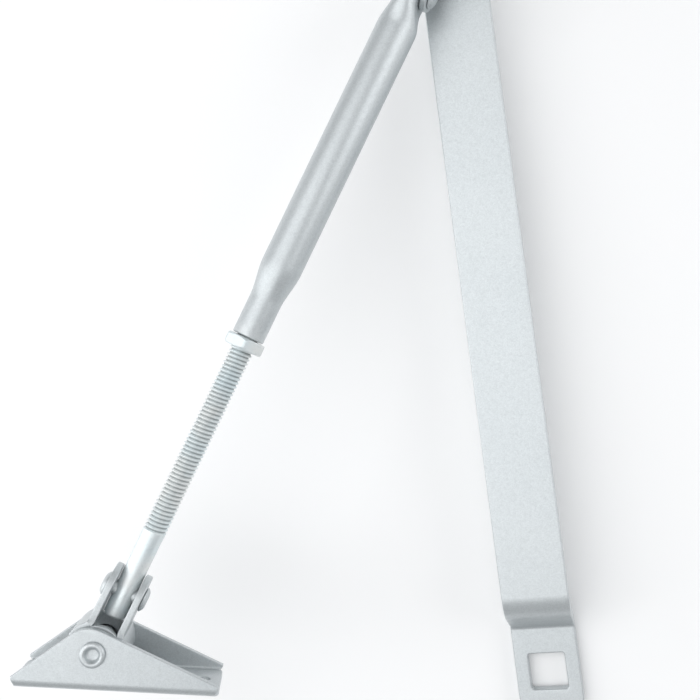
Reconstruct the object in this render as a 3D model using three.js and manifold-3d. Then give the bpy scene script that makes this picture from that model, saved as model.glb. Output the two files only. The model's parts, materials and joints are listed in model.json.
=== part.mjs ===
// Folding door closer arm: a cranked flat main arm, a telescoping forearm (crimped tube, jam nut
// and threaded rod) and a pressed-steel shoe, joined at each end by a two-eared link.
//
// Millimetres, +Z up. The origin is the centre of the square pinion hole, on the arm's seat face.
// The main arm runs along +Y to the elbow; the forearm comes back from the elbow to the shoe.
import * as THREE from "three";
import { mergeVertices } from "three/addons/utils/BufferGeometryUtils.js";
import Module from "manifold-3d";

const wasm = await Module();
wasm.setup();

const degrees = THREE.MathUtils.degToRad;

// ---- Driving dimensions -------------------------------------------------------------------
const CLEARANCE = 0.3; // gap kept between neighbouring pieces
const BORE_PLAY = 0.15; // radial play of a rivet or bush in its hole

const ARM_WIDTH = 22.6;
const ARM_THICK = 4;
const ARM_CENTRES = 258; // square hole to elbow pivot
const ARM_TAIL = 13.5; // plate beyond the square hole
const ARM_CORNER_RADIUS = 4;
const CRANK_RISE = 17; // height of the crank between the two flats
const CRANK_START = 15.1; // where the crank leaves the lower flat
const CRANK_ANGLE = degrees(62);
const CRANK_LOWER_RADIUS = 3.5; // to the plate's mid-plane
const CRANK_UPPER_RADIUS = 8;
const SQUARE_HOLE = 12.8;
const SQUARE_HOLE_CORNER = 0.8;

const LINK_HEIGHT = 19.8; // over the outsides of both ears
const LINK_SHEET = 2.2;
const LINK_EAR_RADIUS = 8.3;
const LINK_EAR_BACK = 7.4;
const LINK_PRONG_GAP = 8; // between the insides of the two prongs
const LINK_FLARE_STEP = 1.6; // the flare stands this far outside the ears
const LINK_FLARE_END = degrees(82); // round the pivot, from the prongs
const LINK_FLARE_FILLET = degrees(43.4); // round the pivot, where the fillets end
const LINK_SHOULDER = 7.3; // the prongs start to narrow here, from the pivot
const LINK_WAIST = 10.3;
const LINK_WAIST_SWELL = 0.3;
const ELBOW_LINK = { reach: 23.2, tip: 5.4 }; // pivot to cross rivet, and the prongs' tip radius
const SHOE_LINK = { reach: 18.6, tip: 7.8 };

const CROSS_RIVET_RADIUS = 2.5;
const CROSS_RIVET_HEAD_RADIUS = 4;
const CROSS_RIVET_HEAD_HEIGHT = 1.6;
const CROSS_RIVET_HEAD_RIM = 0.6; // the straight part of the head's height
const CROSS_RIVET_CROWN_RADIUS = 2.6;

const TUBE_RADIUS = 7;
const TUBE_WALL = 1.5;
const TUBE_TONGUE_THICK = 7.4; // squeezed end, across the prongs
const TUBE_TONGUE_HEIGHT = 17.6;
const TUBE_SQUEEZE = [4.8, 15]; // the squeeze fades out between these, from the cross rivet
const TUBE_TAPER = [102.8, 116];
const TUBE_END = 129.2;
const NECK_RADIUS = 5.5;

const ROD_RADIUS = 3.95;
const ROD_SHANK_RADIUS = 3.75;
const ROD_THREAD_LENGTH = 111;
const ROD_PLAIN_LENGTH = 20.5; // from the end of the thread to the rod's cross rivet
const ROD_PAST_RIVET = 8.6;
const ROD_CHAMFER = 0.5;
const THREAD_CLEARANCE = 0.2;
const NUT_ACROSS_FLATS = 13;
const NUT_THICK = 4;
const NUT_CHAMFER = 0.6;
const NUT_TURN = 18; // degrees about the rod, at rest
const RIVET_CENTRES = 222; // elbow cross rivet to rod cross rivet, as adjusted

const SHOE_LENGTH = 65;
const SHOE_WIDTH = 25;
const SHOE_SHEET = 2.2;
const SHOE_APEX_HEIGHT = 19.8;
const SHOE_APEX_RADIUS = 9;
const SHOE_APEX_OFFSET = -1.4; // apex to pivot, along the base
const SHOE_END_HEIGHT = 2.4;
const SHOE_PIVOT_HEIGHT = 11.8;
const SHOE_PIVOT_FROM_HEEL = 24.7;
const SHOE_BEND_RADIUS = 3; // outside radius between base and walls
const SHOE_SCREW_RADIUS = 2.4;
const SHOE_SCREW_INSET = 6; // screw hole centres from each end of the base

const ELBOW_RIVET_RADIUS = 4;
const ELBOW_RIVET_HEAD_RADIUS = 7.5;
const ELBOW_RIVET_HEAD_HEIGHT = 3;
const ELBOW_RIVET_CROWN_RADIUS = 4.5; // the flat top of the domed head
const ELBOW_RIVET_BROW_RADIUS = 6.75; // the dome half way up
const ELBOW_BUSH_RADIUS = 5.2;
const WASHER_RADIUS = 8;
const WASHER_THICK = 1.2;
const STACK_GAP = 0.1; // between stacked pieces on a rivet

const SHOE_BUSH_RADIUS = 4;
const SHOE_RIVET_RADIUS = 3;
const SHOE_RIVET_HEAD_RADIUS = 4.1;
const SHOE_RIVET_HEAD_HEIGHT = 1.1;
const SHOE_RIVET_DIMPLE_RADIUS = 2.6;
const SHOE_RIVET_DIMPLE_DEPTH = 1.6;
const SHOE_RIVET_DIMPLE_FLOOR = 1.8;
const SHOE_RIVET_ROLL_RADIUS = 3.5; // top of the rolled end
const SHOE_RIVET_BACK_RADIUS = 3.1; // flat of the plain head

// Angles of the modelled rest pose, in degrees
const FOLD = 32; // between the two arms at the elbow
const ELBOW_TILT = 7.5; // the forearm rises towards the shoe
const ROD_TURN = 16; // rod and shoe about the forearm's axis
const SHOE_TILT = 2;
const SHOE_SWIVEL = 21; // 0 when the rod stands square to the shoe's base

// ---- Materials ----------------------------------------------------------------------------
const finish = (color, roughness, metalness) =>
  new THREE.MeshStandardMaterial({ color, roughness, metalness });
const silverPaint = () => finish(0xd3d9dc, 0.45, 0.6);
const zincPlate = () => finish(0xcdd6d6, 0.25, 1);
const bareSteel = () => finish(0xb9bec0, 0.35, 1);

// ---- Solids -------------------------------------------------------------------------------
function solid(geometry) {
  const bare = geometry.index ? geometry.toNonIndexed() : geometry.clone();
  bare.deleteAttribute("normal");
  bare.deleteAttribute("uv");
  const merged = mergeVertices(bare, 1e-4);
  const mesh = new wasm.Mesh({
    numProp: 3,
    vertProperties: new Float32Array(merged.attributes.position.array),
    triVerts: new Uint32Array(merged.index.array),
  });
  return new wasm.Manifold(mesh);
}

function namedMesh(name, body, material) {
  const { vertProperties, triVerts } = body.getMesh();
  const geometry = new THREE.BufferGeometry();
  geometry.setAttribute("position", new THREE.BufferAttribute(vertProperties, 3));
  geometry.setIndex(new THREE.BufferAttribute(triVerts, 1));
  geometry.computeVertexNormals();
  const mesh = new THREE.Mesh(geometry, material);
  mesh.name = name;
  return mesh;
}

// Extrudes an outline drawn in the plane of two axes, centred about `middle` on the third.
function plate(outline, thickness, axes, middle = 0, curveSegments = 12) {
  const geometry = new THREE.ExtrudeGeometry(outline, {
    depth: thickness,
    bevelEnabled: false,
    curveSegments,
    steps: 1,
  });
  geometry.translate(0, 0, middle - thickness / 2);
  const [first, second] = axes;
  const third = new THREE.Vector3().crossVectors(first, second);
  geometry.applyMatrix4(new THREE.Matrix4().makeBasis(first, second, third));
  return solid(geometry);
}

const X = new THREE.Vector3(1, 0, 0);
const Y = new THREE.Vector3(0, 1, 0);
const Z = new THREE.Vector3(0, 0, 1);
const IN_XY = [X, Y];
const IN_YZ = [Y, Z];
const IN_ZX = [Z, X];

// A turned piece: `profile` lists [radius, height] from the axis back to the axis.
function turned(profile, axis = Z, segments = 32) {
  const points = profile.map(([radius, height]) => new THREE.Vector2(radius, height));
  const geometry = new THREE.LatheGeometry(points, segments);
  geometry.applyQuaternion(new THREE.Quaternion().setFromUnitVectors(Y, axis));
  return solid(geometry);
}

function pin(radius, low, high, axis = Z, segments = 32) {
  return turned([[0, low], [radius, low], [radius, high], [0, high]], axis, segments);
}

function ring(inner, outer, low, high, axis = Z, segments = 32) {
  const profile = [[inner, low], [outer, low], [outer, high], [inner, high], [inner, low]];
  return turned(profile, axis, segments);
}

// ---- Main arm -----------------------------------------------------------------------------
// One bend of the crank: points along the plate's mid-plane with the direction they run in.
function bend(start, radius, fromAngle, toAngle) {
  const steps = 8;
  const turn = Math.sign(toAngle - fromAngle);
  return Array.from({ length: steps + 1 }, (_, i) => {
    const angle = fromAngle + ((toAngle - fromAngle) * i) / steps;
    return {
      y: start.y + turn * radius * (Math.sin(angle) - Math.sin(fromAngle)),
      z: start.z + turn * radius * (Math.cos(fromAngle) - Math.cos(angle)),
      angle,
    };
  });
}

function crankCentreLine() {
  const middle = ARM_THICK / 2;
  const bendRise = (CRANK_LOWER_RADIUS + CRANK_UPPER_RADIUS) * (1 - Math.cos(CRANK_ANGLE));
  const slope = (CRANK_RISE - bendRise) / Math.sin(CRANK_ANGLE);
  const lower = bend({ y: CRANK_START, z: middle }, CRANK_LOWER_RADIUS, 0, CRANK_ANGLE);
  const foot = lower[lower.length - 1];
  const brow = {
    y: foot.y + slope * Math.cos(CRANK_ANGLE),
    z: foot.z + slope * Math.sin(CRANK_ANGLE),
  };
  const upper = bend(brow, CRANK_UPPER_RADIUS, CRANK_ANGLE, 0);
  const tail = { y: -ARM_TAIL, z: middle, angle: 0 };
  const tip = { y: ARM_CENTRES + ARM_WIDTH / 2, z: middle + CRANK_RISE, angle: 0 };
  return [tail, ...lower, ...upper, tip];
}

function crankedProfile() {
  const line = crankCentreLine();
  const surface = (side) => ({ y, z, angle }) => {
    const offset = (side * ARM_THICK) / 2;
    return new THREE.Vector2(y - offset * Math.sin(angle), z + offset * Math.cos(angle));
  };
  return new THREE.Shape([...line.map(surface(-1)), ...line.map(surface(1)).reverse()]);
}

function roundedSquareHole() {
  const half = SQUARE_HOLE / 2;
  const r = SQUARE_HOLE_CORNER;
  const hole = new THREE.Path();
  for (let corner = 0; corner < 4; corner += 1) {
    const start = (corner * Math.PI) / 2;
    const diagonal = start + Math.PI / 4;
    const reach = (half - r) * Math.SQRT2;
    const centre = [reach * Math.cos(diagonal), reach * Math.sin(diagonal)];
    hole.absarc(...centre, r, start, start + Math.PI / 2);
  }
  hole.closePath();
  return hole;
}

function armOutline() {
  const half = ARM_WIDTH / 2;
  const r = ARM_CORNER_RADIUS;
  const outline = new THREE.Shape();
  outline.absarc(-half + r, -ARM_TAIL + r, r, Math.PI, 1.5 * Math.PI);
  outline.absarc(half - r, -ARM_TAIL + r, r, -0.5 * Math.PI, 0);
  outline.absarc(0, ARM_CENTRES, half, 0, Math.PI);
  outline.closePath();
  const pivotHole = new THREE.Path();
  pivotHole.absarc(0, ARM_CENTRES, ELBOW_RIVET_RADIUS + BORE_PLAY, 0, 2 * Math.PI);
  outline.holes.push(roundedSquareHole(), pivotHole);
  return outline;
}

function mainArm() {
  const side = plate(crankedProfile(), ARM_WIDTH + 2, IN_YZ);
  const plan = plate(armOutline(), 4 * CRANK_RISE, IN_XY);
  return side.intersect(plan);
}

// ---- Links: the same kind of pressing is used at the elbow and at the shoe --------------------
// Drawn with the pivot at the origin along Z and the prongs reaching along +X.

// Where a prong's face runs into the round flare: the flare's end point of the fillet, the
// corner that the fillet rounds off, and its end point on the face.
function flareFillet(radius, face, angle) {
  const onFlare = new THREE.Vector2(radius * Math.cos(angle), radius * Math.sin(angle));
  const run = (onFlare.y - face) / Math.cos(angle);
  const corner = new THREE.Vector2(onFlare.x + run * Math.sin(angle), face);
  const onFace = new THREE.Vector2(corner.x + run, face);
  return { onFlare, corner, onFace, angle };
}

function linkProngProfile({ reach, tip }) {
  const inner = LINK_PRONG_GAP / 2;
  const outer = inner + LINK_SHEET;
  const flareOutside = LINK_EAR_RADIUS + LINK_FLARE_STEP;
  const flareInside = flareOutside - LINK_SHEET;
  const outerFillet = flareFillet(flareOutside, outer, LINK_FLARE_FILLET);
  const innerFillet = flareFillet(flareInside, inner, LINK_FLARE_FILLET);
  const end = LINK_FLARE_END;
  const outline = new THREE.Shape();
  outline.moveTo(reach + tip, inner);
  outline.lineTo(reach + tip, outer);
  outline.lineTo(outerFillet.onFace.x, outer);
  const outerEnds = [outerFillet.corner, outerFillet.onFlare].flatMap(({ x, y }) => [x, y]);
  outline.quadraticCurveTo(...outerEnds);
  outline.absarc(0, 0, flareOutside, outerFillet.angle, end);
  outline.lineTo(flareInside * Math.cos(end), flareInside * Math.sin(end));
  outline.absarc(0, 0, flareInside, end, innerFillet.angle, true);
  const innerEnds = [innerFillet.corner, innerFillet.onFace].flatMap(({ x, y }) => [x, y]);
  outline.quadraticCurveTo(...innerEnds);
  outline.closePath();
  return outline;
}

// Seen from the side, a prong narrows from the ears' height to a round tip about the cross rivet.
function linkSideOutline({ reach, tip }) {
  const half = LINK_HEIGHT / 2;
  const waist = tip + LINK_WAIST_SWELL;
  const outline = new THREE.Shape();
  outline.moveTo(-half, -LINK_EAR_RADIUS);
  outline.lineTo(half, -LINK_EAR_RADIUS);
  outline.lineTo(half, LINK_SHOULDER);
  outline.quadraticCurveTo(waist, LINK_WAIST, tip, reach);
  outline.absarc(0, reach, tip, 0, Math.PI);
  outline.quadraticCurveTo(-waist, LINK_WAIST, -half, LINK_SHOULDER);
  outline.closePath();
  return outline;
}

function linkEarOutline() {
  const outline = new THREE.Shape();
  outline.absarc(0, 0, LINK_EAR_RADIUS, -0.5 * Math.PI, 0.5 * Math.PI);
  outline.absellipse(0, 0, LINK_EAR_BACK, LINK_EAR_RADIUS, 0.5 * Math.PI, 1.5 * Math.PI);
  return outline;
}

function link(size, pivotHoleRadius) {
  const side = plate(linkSideOutline(size), 4 * LINK_HEIGHT, IN_ZX);
  const prong = plate(linkProngProfile(size), LINK_HEIGHT, IN_XY).intersect(side);
  const earMiddle = (LINK_HEIGHT - LINK_SHEET) / 2;
  const [lowEar, highEar] = [-earMiddle, earMiddle].map((middle) =>
    plate(linkEarOutline(), LINK_SHEET, IN_XY, middle));
  const pivotHole = pin(pivotHoleRadius, -LINK_HEIGHT, LINK_HEIGHT);
  return prong
    .add(prong.mirror([0, 1, 0]))
    .add(lowEar)
    .add(highEar)
    .subtract(pivotHole)
    .subtract(crossHole(size.reach));
}

function crossHole(along) {
  const hole = pin(CROSS_RIVET_RADIUS + BORE_PLAY, -LINK_HEIGHT, LINK_HEIGHT, Y, 24);
  return hole.translate([along, 0, 0]);
}

// A rivet through both prongs, with a low head at each end.
function crossRivet() {
  const seat = LINK_PRONG_GAP / 2 + LINK_SHEET + STACK_GAP;
  const top = seat + CROSS_RIVET_HEAD_HEIGHT;
  const head = CROSS_RIVET_HEAD_RADIUS;
  const shank = CROSS_RIVET_RADIUS;
  const rim = seat + CROSS_RIVET_HEAD_RIM;
  const crown = CROSS_RIVET_CROWN_RADIUS;
  const half = [[shank, seat], [head, seat], [head, rim], [crown, top], [0, top]];
  const other = half.map(([radius, height]) => [radius, -height]).reverse();
  return turned([...other, ...half], Y, 24);
}

// ---- Elbow --------------------------------------------------------------------------------
const armTop = ARM_THICK + CRANK_RISE;
const elbowLinkLow = armTop + STACK_GAP + WASHER_THICK + CLEARANCE / 2;
const elbowAxisHeight = elbowLinkLow + LINK_HEIGHT / 2;
const upperWasherLow = elbowLinkLow + LINK_HEIGHT + CLEARANCE / 2;

function elbowPivotRivet() {
  const shank = ELBOW_RIVET_RADIUS;
  const head = ELBOW_RIVET_HEAD_RADIUS;
  const low = CRANK_RISE - STACK_GAP;
  const high = upperWasherLow + WASHER_THICK + STACK_GAP;
  const foot = low - ELBOW_RIVET_HEAD_HEIGHT;
  const top = high + ELBOW_RIVET_HEAD_HEIGHT;
  return turned([
    [0, foot],
    [ELBOW_RIVET_CROWN_RADIUS, foot],
    [ELBOW_RIVET_BROW_RADIUS, (foot + low) / 2],
    [head, low],
    [shank, low],
    [shank, high],
    [head, high],
    [ELBOW_RIVET_BROW_RADIUS, (high + top) / 2],
    [ELBOW_RIVET_CROWN_RADIUS, top],
    [0, top],
  ]);
}

function elbowWasher(low) {
  return ring(ELBOW_RIVET_RADIUS + BORE_PLAY, WASHER_RADIUS, low, low + WASHER_THICK);
}

function elbowBush() {
  const low = armTop + 2 * STACK_GAP + WASHER_THICK;
  return ring(ELBOW_RIVET_RADIUS + BORE_PLAY, ELBOW_BUSH_RADIUS, low, upperWasherLow - STACK_GAP);
}

// ---- Forearm: drawn along +X from the elbow cross rivet ---------------------------------------
// Half sizes of the tube at a distance along it: squeezed at the elbow, drawn down at the neck.
function tubeSection(along) {
  const squeeze = 1 - THREE.MathUtils.smoothstep(along, ...TUBE_SQUEEZE);
  const taper = THREE.MathUtils.smoothstep(along, ...TUBE_TAPER);
  const round = THREE.MathUtils.lerp(TUBE_RADIUS, NECK_RADIUS, taper);
  return {
    across: THREE.MathUtils.lerp(round, TUBE_TONGUE_THICK / 2, squeeze),
    tall: THREE.MathUtils.lerp(round, TUBE_TONGUE_HEIGHT / 2, squeeze),
  };
}

// A closed loft through the tube's sections at the given stations, `inset` inside its surface.
function tubeLoft(stations, inset) {
  const sides = 32;
  const positions = stations.flatMap((along) => {
    const { across, tall } = tubeSection(along);
    const radius = across - inset;
    const straight = tall - across;
    return Array.from({ length: sides }, (_, i) => {
      const turn = ((i + 0.5) / sides) * 2 * Math.PI;
      const lift = Math.sign(Math.sin(turn)) * straight;
      return [along, radius * Math.cos(turn), radius * Math.sin(turn) + lift];
    }).flat();
  });
  const index = [];
  const last = (stations.length - 1) * sides;
  for (let i = 0; i < sides; i += 1) {
    const next = (i + 1) % sides;
    for (let s = 0; s < last; s += sides) {
      index.push(s + i, s + next, s + sides + next);
      index.push(s + i, s + sides + next, s + sides + i);
    }
  }
  for (let i = 1; i < sides - 1; i += 1) {
    index.push(0, i + 1, i);
    index.push(last, last + i, last + i + 1);
  }
  const geometry = new THREE.BufferGeometry();
  geometry.setAttribute("position", new THREE.Float32BufferAttribute(positions, 3));
  geometry.setIndex(index);
  return solid(geometry);
}

function spread([from, to], count) {
  return Array.from({ length: count + 1 }, (_, i) => from + ((to - from) * i) / count);
}

// The squeezed end is rounded about the cross rivet, so that it clears the link's ears.
function tongueOutline() {
  const radius = TUBE_TONGUE_HEIGHT / 2;
  const outline = new THREE.Shape();
  outline.absarc(0, 0, radius, 0.5 * Math.PI, 1.5 * Math.PI);
  outline.lineTo(2 * TUBE_END, -radius - 1);
  outline.lineTo(2 * TUBE_END, radius + 1);
  outline.closePath();
  return outline;
}

function forearmTube() {
  const tongueEnd = -TUBE_TONGUE_HEIGHT / 2;
  const bends = [...spread(TUBE_SQUEEZE, 7), ...spread(TUBE_TAPER, 7)];
  const outside = tubeLoft([tongueEnd, ...bends, TUBE_END], 0);
  const inside = tubeLoft([tongueEnd - 1, ...bends, TUBE_END + 1], TUBE_WALL);
  const threadBore = pin(ROD_RADIUS + THREAD_CLEARANCE, TUBE_TAPER[0], TUBE_END + 1, X);
  const noseTrim = plate(tongueOutline(), 4 * TUBE_RADIUS, [X, Z]);
  return outside
    .subtract(inside)
    .subtract(threadBore)
    .intersect(noseTrim)
    .subtract(crossHole(0));
}

function jamNut() {
  const low = TUBE_END + CLEARANCE;
  const high = low + NUT_THICK;
  const corner = NUT_ACROSS_FLATS / Math.sqrt(3);
  const hexagon = pin(corner, low, high, X, 6);
  const chamfered = turned([
    [0, low],
    [corner - NUT_CHAMFER, low],
    [corner, low + NUT_CHAMFER],
    [corner, high - NUT_CHAMFER],
    [corner - NUT_CHAMFER, high],
    [0, high],
  ], X, 36);
  const bore = pin(ROD_RADIUS + THREAD_CLEARANCE, low - 1, high + 1, X);
  return hexagon.rotate([-NUT_TURN, 0, 0]).intersect(chamfered).subtract(bore);
}

// The thread is a plain cylinder of its outside diameter; the shank beyond it is a little thinner.
function threadedRod() {
  const threadEnd = RIVET_CENTRES - ROD_PLAIN_LENGTH;
  const start = threadEnd - ROD_THREAD_LENGTH;
  const end = RIVET_CENTRES + ROD_PAST_RIVET;
  const rod = turned([
    [0, start],
    [ROD_RADIUS - ROD_CHAMFER, start],
    [ROD_RADIUS, start + ROD_CHAMFER],
    [ROD_RADIUS, threadEnd],
    [ROD_SHANK_RADIUS, threadEnd + ROD_CHAMFER],
    [ROD_SHANK_RADIUS, end - ROD_CHAMFER],
    [ROD_SHANK_RADIUS - ROD_CHAMFER, end],
    [0, end],
  ], X);
  return rod.subtract(crossHole(RIVET_CENTRES));
}

// ---- Shoe: drawn about its pivot, with the base below and the long end towards +X --------------
const shoeHeel = -SHOE_PIVOT_FROM_HEEL;
const shoeToe = SHOE_LENGTH - SHOE_PIVOT_FROM_HEEL;
const shoeBase = -SHOE_PIVOT_HEIGHT;
const shoeInside = SHOE_WIDTH / 2 - SHOE_SHEET;

// The walls' triangular outline: low at both ends, rounded over the pivot.
function shoeWallOutline() {
  const centre = new THREE.Vector2(
    SHOE_APEX_OFFSET,
    SHOE_APEX_HEIGHT - SHOE_PIVOT_HEIGHT - SHOE_APEX_RADIUS,
  );
  const shoulder = shoeBase + SHOE_END_HEIGHT;
  const tangentAngle = (x, side) => {
    const corner = new THREE.Vector2(x, shoulder).sub(centre);
    return corner.angle() + side * Math.acos(SHOE_APEX_RADIUS / corner.length());
  };
  const outline = new THREE.Shape();
  outline.moveTo(shoeHeel, shoeBase);
  outline.lineTo(shoeToe, shoeBase);
  outline.lineTo(shoeToe, shoulder);
  const toeAngle = tangentAngle(shoeToe, 1) - 2 * Math.PI;
  outline.absarc(centre.x, centre.y, SHOE_APEX_RADIUS, toeAngle, tangentAngle(shoeHeel, -1));
  outline.lineTo(shoeHeel, shoulder);
  outline.closePath();
  return outline;
}

// A U across the shoe, drawn as height and width.
function shoeChannelOutline(inset, bendRadius) {
  const half = SHOE_WIDTH / 2 - inset;
  const low = shoeBase + inset;
  const high = SHOE_APEX_HEIGHT;
  const outline = new THREE.Shape();
  outline.moveTo(high, -half);
  outline.lineTo(low + bendRadius, -half);
  outline.absarc(low + bendRadius, -half + bendRadius, bendRadius, -0.5 * Math.PI, -Math.PI, true);
  outline.absarc(low + bendRadius, half - bendRadius, bendRadius, Math.PI, 0.5 * Math.PI, true);
  outline.lineTo(high, half);
  outline.closePath();
  return outline;
}

function shoeBracket() {
  const middle = (shoeHeel + shoeToe) / 2;
  const outside = plate(shoeChannelOutline(0, SHOE_BEND_RADIUS), SHOE_LENGTH, IN_YZ, middle, 5);
  const insideRadius = SHOE_BEND_RADIUS - SHOE_SHEET;
  const inside = plate(shoeChannelOutline(SHOE_SHEET, insideRadius), 2 * SHOE_LENGTH, IN_YZ, middle, 4);
  const walls = plate(shoeWallOutline(), 2 * SHOE_WIDTH, IN_XY, 0, 20);
  const screwHole = pin(SHOE_SCREW_RADIUS, shoeBase - 1, shoeBase + SHOE_SHEET + 1, Y, 24);
  return outside
    .subtract(inside)
    .intersect(walls)
    .subtract(pin(SHOE_RIVET_RADIUS + BORE_PLAY, -SHOE_WIDTH, SHOE_WIDTH))
    .subtract(screwHole.translate([shoeHeel + SHOE_SCREW_INSET, 0, 0]))
    .subtract(screwHole.translate([shoeToe - SHOE_SCREW_INSET, 0, 0]));
}

// The bush carries the link and keeps the walls apart.
function shoeBush() {
  const half = shoeInside - STACK_GAP;
  return ring(SHOE_RIVET_RADIUS + BORE_PLAY, SHOE_BUSH_RADIUS, -half, half);
}

// A rivet with a plain head behind and a rolled end, hollow in its middle, in front.
function shoePivotRivet() {
  const shank = SHOE_RIVET_RADIUS;
  const head = SHOE_RIVET_HEAD_RADIUS;
  const seat = SHOE_WIDTH / 2 + STACK_GAP;
  const top = seat + SHOE_RIVET_HEAD_HEIGHT;
  const floor = top - SHOE_RIVET_DIMPLE_DEPTH;
  return turned([
    [0, -top],
    [SHOE_RIVET_BACK_RADIUS, -top],
    [head, -seat],
    [shank, -seat],
    [shank, seat],
    [head, seat],
    [head, (seat + top) / 2],
    [SHOE_RIVET_ROLL_RADIUS, top],
    [SHOE_RIVET_DIMPLE_RADIUS, top],
    [SHOE_RIVET_DIMPLE_FLOOR, floor],
    [0, floor],
  ]);
}

// ---- Assembly: each group carries the one inside it, as the joints do ---------------------------
function jointGroup(position, rotation, children) {
  const group = new THREE.Group();
  group.position.set(...position);
  group.rotation.set(...rotation.map(degrees));
  group.add(...children);
  return group;
}

const shoe = jointGroup([SHOE_LINK.reach, 0, 0], [0, 0, 90 + SHOE_SWIVEL], [
  namedMesh("shoe_bracket", shoeBracket(), silverPaint()),
  namedMesh("shoe_bush", shoeBush(), bareSteel()),
  namedMesh("shoe_pivot_rivet", shoePivotRivet(), silverPaint()),
]);

const shoeLinkMesh = namedMesh("shoe_link", link(SHOE_LINK, SHOE_BUSH_RADIUS + BORE_PLAY), silverPaint());
shoeLinkMesh.position.x = SHOE_LINK.reach;
shoeLinkMesh.rotation.z = Math.PI;

const shoeEnd = jointGroup([RIVET_CENTRES, 0, 0], [0, -SHOE_TILT, 0], [
  shoeLinkMesh,
  namedMesh("rod_cross_rivet", crossRivet(), silverPaint()),
  shoe,
]);

const rod = jointGroup([0, 0, 0], [-ROD_TURN, 0, 0], [
  namedMesh("threaded_rod", threadedRod(), zincPlate()),
  shoeEnd,
]);

const forearm = jointGroup([ELBOW_LINK.reach, 0, 0], [0, -ELBOW_TILT, 0], [
  namedMesh("forearm_tube", forearmTube(), silverPaint()),
  namedMesh("jam_nut", jamNut(), zincPlate()),
  rod,
]);

const elbowCrossRivet = namedMesh("elbow_cross_rivet", crossRivet(), silverPaint());
elbowCrossRivet.position.x = ELBOW_LINK.reach;

const elbow = jointGroup([0, ARM_CENTRES, elbowAxisHeight], [0, 0, -90 - FOLD], [
  namedMesh("elbow_link", link(ELBOW_LINK, ELBOW_BUSH_RADIUS + BORE_PLAY), silverPaint()),
  elbowCrossRivet,
  forearm,
]);

const elbowStack = jointGroup([0, ARM_CENTRES, 0], [0, 0, 0], [
  namedMesh("elbow_pivot_rivet", elbowPivotRivet(), silverPaint()),
  namedMesh("elbow_lower_washer", elbowWasher(armTop + STACK_GAP), bareSteel()),
  namedMesh("elbow_upper_washer", elbowWasher(upperWasherLow), bareSteel()),
  namedMesh("elbow_bush", elbowBush(), bareSteel()),
]);

const closerArm = new THREE.Group();
closerArm.add(namedMesh("main_arm", mainArm(), silverPaint()), elbowStack, elbow);

export default closerArm;
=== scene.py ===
"""Looks for a folding door closer arm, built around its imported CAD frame.

Shapes are drawn in millimetres in each piece's own frame, as the CAD draws them, and placed in
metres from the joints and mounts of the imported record.
"""
import json
from math import acos, atan2, ceil, cos, exp, hypot, pi, radians, sin, sqrt, tan

import bmesh
import bpy
from mathutils import Matrix, Vector
from mathutils.geometry import tessellate_polygon


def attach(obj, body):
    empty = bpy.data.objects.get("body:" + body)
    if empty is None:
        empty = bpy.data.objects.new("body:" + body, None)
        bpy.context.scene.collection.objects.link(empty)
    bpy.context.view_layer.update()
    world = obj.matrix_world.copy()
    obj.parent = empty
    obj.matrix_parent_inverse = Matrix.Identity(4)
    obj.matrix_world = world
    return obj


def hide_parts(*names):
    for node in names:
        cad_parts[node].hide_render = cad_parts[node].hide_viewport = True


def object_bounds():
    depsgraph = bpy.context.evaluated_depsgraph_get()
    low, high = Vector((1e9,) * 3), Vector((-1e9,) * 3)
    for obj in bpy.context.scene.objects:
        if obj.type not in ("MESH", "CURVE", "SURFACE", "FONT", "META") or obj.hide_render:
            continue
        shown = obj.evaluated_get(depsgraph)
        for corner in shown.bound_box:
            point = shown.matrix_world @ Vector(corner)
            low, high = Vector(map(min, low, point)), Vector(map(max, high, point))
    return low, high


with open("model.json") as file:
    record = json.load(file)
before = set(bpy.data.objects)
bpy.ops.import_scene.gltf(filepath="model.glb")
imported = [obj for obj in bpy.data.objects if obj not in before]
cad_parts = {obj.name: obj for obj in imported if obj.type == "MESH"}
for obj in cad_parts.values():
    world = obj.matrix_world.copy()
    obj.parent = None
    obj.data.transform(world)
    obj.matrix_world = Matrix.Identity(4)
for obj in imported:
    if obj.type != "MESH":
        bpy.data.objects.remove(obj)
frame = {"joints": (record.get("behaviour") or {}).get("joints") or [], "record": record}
cad_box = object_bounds()

MM = 0.001
FINE = 1e-6

# ---- Dimensions in millimetres --------------------------------------------------------------
EDGE = 0.35  # rounding on the rims of pressed sheet
ARM = {
    "width": 22.6, "thick": 4.0, "centres": 258.0, "tail": 13.5, "corner": 4.0, "edge": 0.5,
    "rise": 17.0, "crank_start": 15.1, "crank_angle": radians(62),
    "lower_radius": 3.5, "upper_radius": 8.0, "square": 12.8, "square_corner": 0.9,
}
LINK = {
    "height": 19.8, "sheet": 2.2, "ear": 8.3, "ear_back": 7.4, "gap": 8.0, "step": 1.6,
    "flare_end": radians(82), "fillet": 3.0, "shoulder": 7.3, "waist": 10.3, "swell": 0.3,
    "ear_inset": 0.12,
}
ELBOW_LINK = {"reach": 23.2, "tip": 5.4}
SHOE_LINK = {"reach": 18.6, "tip": 7.8}
PLAY = 0.15  # round a shank in its hole
GAP = 0.1  # between faces that slide on each other
BORE_REACH = 20.0

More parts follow.
